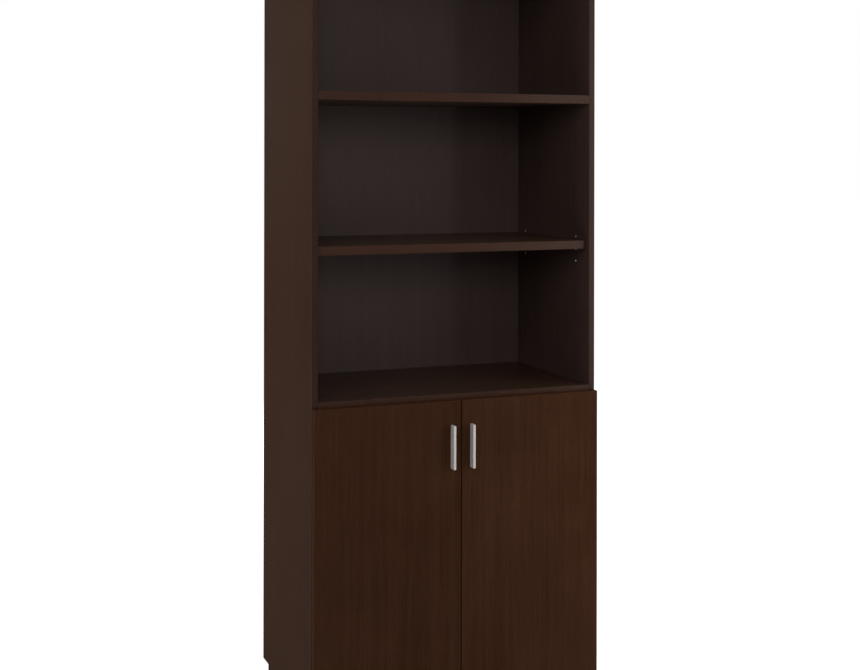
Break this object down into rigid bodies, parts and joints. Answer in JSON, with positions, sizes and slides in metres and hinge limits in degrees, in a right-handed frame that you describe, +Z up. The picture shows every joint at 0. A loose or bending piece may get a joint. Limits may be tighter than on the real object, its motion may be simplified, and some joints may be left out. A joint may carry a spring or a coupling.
{
  "type": "bookcase with cabinet doors",
  "caption": "Tall dark wood-grain bookcase: open shelves over a cupboard with hinged doors, vertical metal blade pulls, recessed kick and rear skirting notch.",
  "frame": {"origin": "on the floor, under the middle of the bookcase's whole box, doors shut and pulls included", "axes": "+Z up, -Y out of the doors, +X to the right of somebody facing them"},
  "size_m": [0.762, 0.4712, 1.973],
  "materials": {
    "carcass_laminate": "dark espresso wood-grain laminate, satin",
    "edge_band": "dark espresso edge band, satin",
    "door_laminate": "dark walnut wood-grain laminate, vertical grain, satin",
    "door_edge_band": "dark walnut edge band, satin",
    "back_hardboard": "printed dark hardboard, satin",
    "joiner_plastic": "dark brown extruded plastic",
    "glide_plastic": "dark nylon",
    "pull_aluminium": "satin anodised",
    "nickel_steel": "nickel-plated steel",
    "zinc_screws": "zinc-plated steel",
    "clear_bumper": "soft translucent plastic",
    "catch_plastic": "brown moulded plastic",
    "beech_dowel": "plain beech"
  },
  "bodies": {
    "cabinet": {"back_joiner": "joiner_plastic", "back_panel_lower": "back_hardboard", "back_panel_upper": "back_hardboard", "bottom_panel": "carcass_laminate", "cam_bolts": "nickel_steel", "cam_locks": "nickel_steel", "deck_panel": "carcass_laminate", "door_catch": "catch_plastic", "door_catch_screws": "zinc_screws", "dowels": "beech_dowel", "fixed_shelf": "carcass_laminate", "glides": "glide_plastic", "hinge_arm_high_left": "nickel_steel", "hinge_arm_high_right": "nickel_steel", "hinge_arm_low_left": "nickel_steel", "hinge_arm_low_right": "nickel_steel", "hinge_clamp_screws": "zinc_screws", "hinge_plate_high_left": "nickel_steel", "hinge_plate_high_right": "nickel_steel", "hinge_plate_low_left": "nickel_steel", "hinge_plate_low_right": "nickel_steel", "hinge_plate_screws": "zinc_screws", "kick_plate": "carcass_laminate", "panel_edge_bands": "edge_band", "rear_rail": "carcass_laminate", "shelf_pins_lower": "nickel_steel", "shelf_pins_upper": "nickel_steel", "side_edge_band_left": "edge_band", "side_edge_band_right": "edge_band", "side_panel_left": "carcass_laminate", "side_panel_right": "carcass_laminate", "top_panel": "carcass_laminate"},
    "door_left": {"catch_strike_left": "nickel_steel", "door_bumpers_left": "clear_bumper", "door_edge_bands_left": "door_edge_band", "door_left": "door_laminate", "door_pull_left": "pull_aluminium", "door_pull_screws_left": "zinc_screws", "hinge_cup_high_left": "nickel_steel", "hinge_cup_low_left": "nickel_steel", "hinge_cup_screws_left": "zinc_screws", "hinge_pins_left": "nickel_steel"},
    "door_right": {"catch_strike_right": "nickel_steel", "door_bumpers_right": "clear_bumper", "door_edge_bands_right": "door_edge_band", "door_pull_right": "pull_aluminium", "door_pull_screws_right": "zinc_screws", "door_right": "door_laminate", "hinge_cup_high_right": "nickel_steel", "hinge_cup_low_right": "nickel_steel", "hinge_cup_screws_right": "zinc_screws", "hinge_pins_right": "nickel_steel"},
    "shelf_upper": {"adjustable_shelf_upper": "carcass_laminate", "shelf_edge_band_upper": "edge_band"},
    "shelf_lower": {"adjustable_shelf_lower": "carcass_laminate", "shelf_edge_band_lower": "edge_band"}
  },
  "joints": [
    {"name": "door_left_hinge", "type": "hinge", "parent": "cabinet", "child": "door_left", "pos_m": [-0.3736, -0.2072, 0.474], "axis": [0, 0, -1], "range_deg": [0, 95]},
    {"name": "door_right_hinge", "type": "hinge", "parent": "cabinet", "child": "door_right", "pos_m": [0.3736, -0.2072, 0.474], "axis": [0, 0, 1], "range_deg": [0, 95]},
    {"name": "shelf_upper_lift", "type": "slide", "parent": "cabinet", "child": "shelf_upper", "axis": [0, 0, 1], "range_m": [0, 0.03]},
    {"name": "shelf_lower_lift", "type": "slide", "parent": "cabinet", "child": "shelf_lower", "axis": [0, 0, 1], "range_m": [0, 0.03]}
  ]
}
